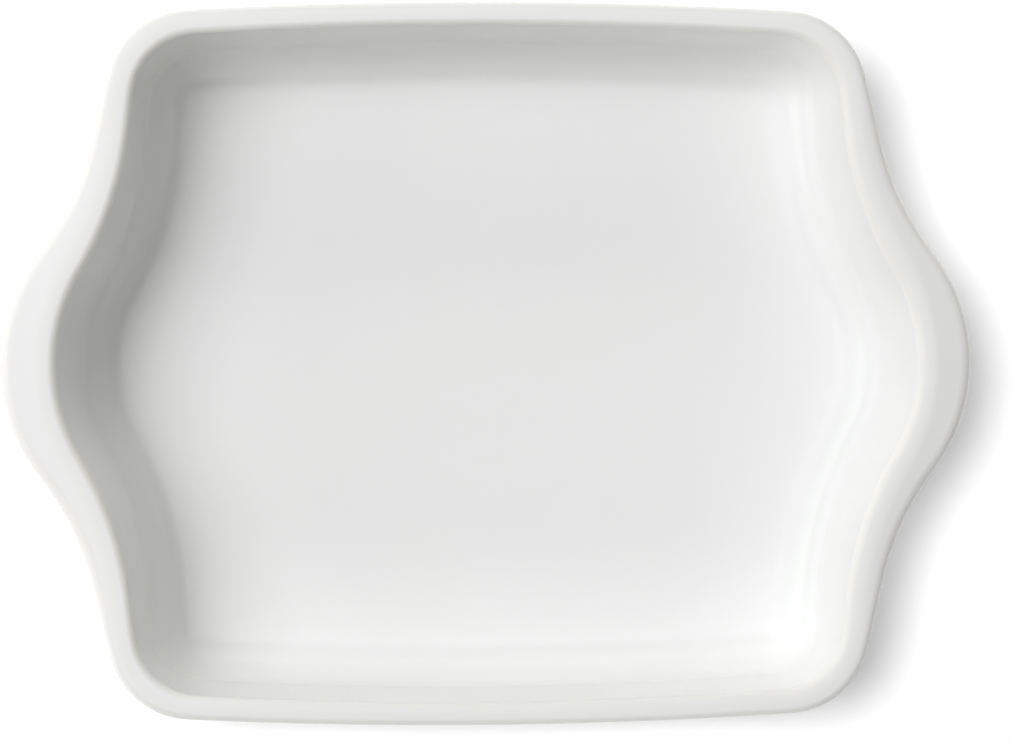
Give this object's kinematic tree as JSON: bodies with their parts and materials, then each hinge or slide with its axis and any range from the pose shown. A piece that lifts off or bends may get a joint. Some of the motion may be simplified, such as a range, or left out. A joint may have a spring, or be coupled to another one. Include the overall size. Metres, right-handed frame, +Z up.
{
  "type": "ceramic baking dish",
  "caption": "Shallow rectangular oven dish in white glazed stoneware, bowed out at the short ends, where the rim widens into crescent handles.",
  "frame": {"origin": "on the table under the middle of the dish", "axes": "+X along the length from the left handle to the right handle, +Y across the dish, +Z up"},
  "size_m": [0.33, 0.245, 0.058],
  "materials": {
    "clay": "bare fired stoneware, matt and slightly rough",
    "glaze": "plain white, smooth gloss"
  },
  "bodies": {
    "root": {"dish_body": "clay", "left_handle": "clay", "right_handle": "clay", "foot_ring": "clay", "inside_glaze": "glaze", "outside_glaze": "glaze", "underside_glaze": "glaze"}
  },
  "joints": []
}
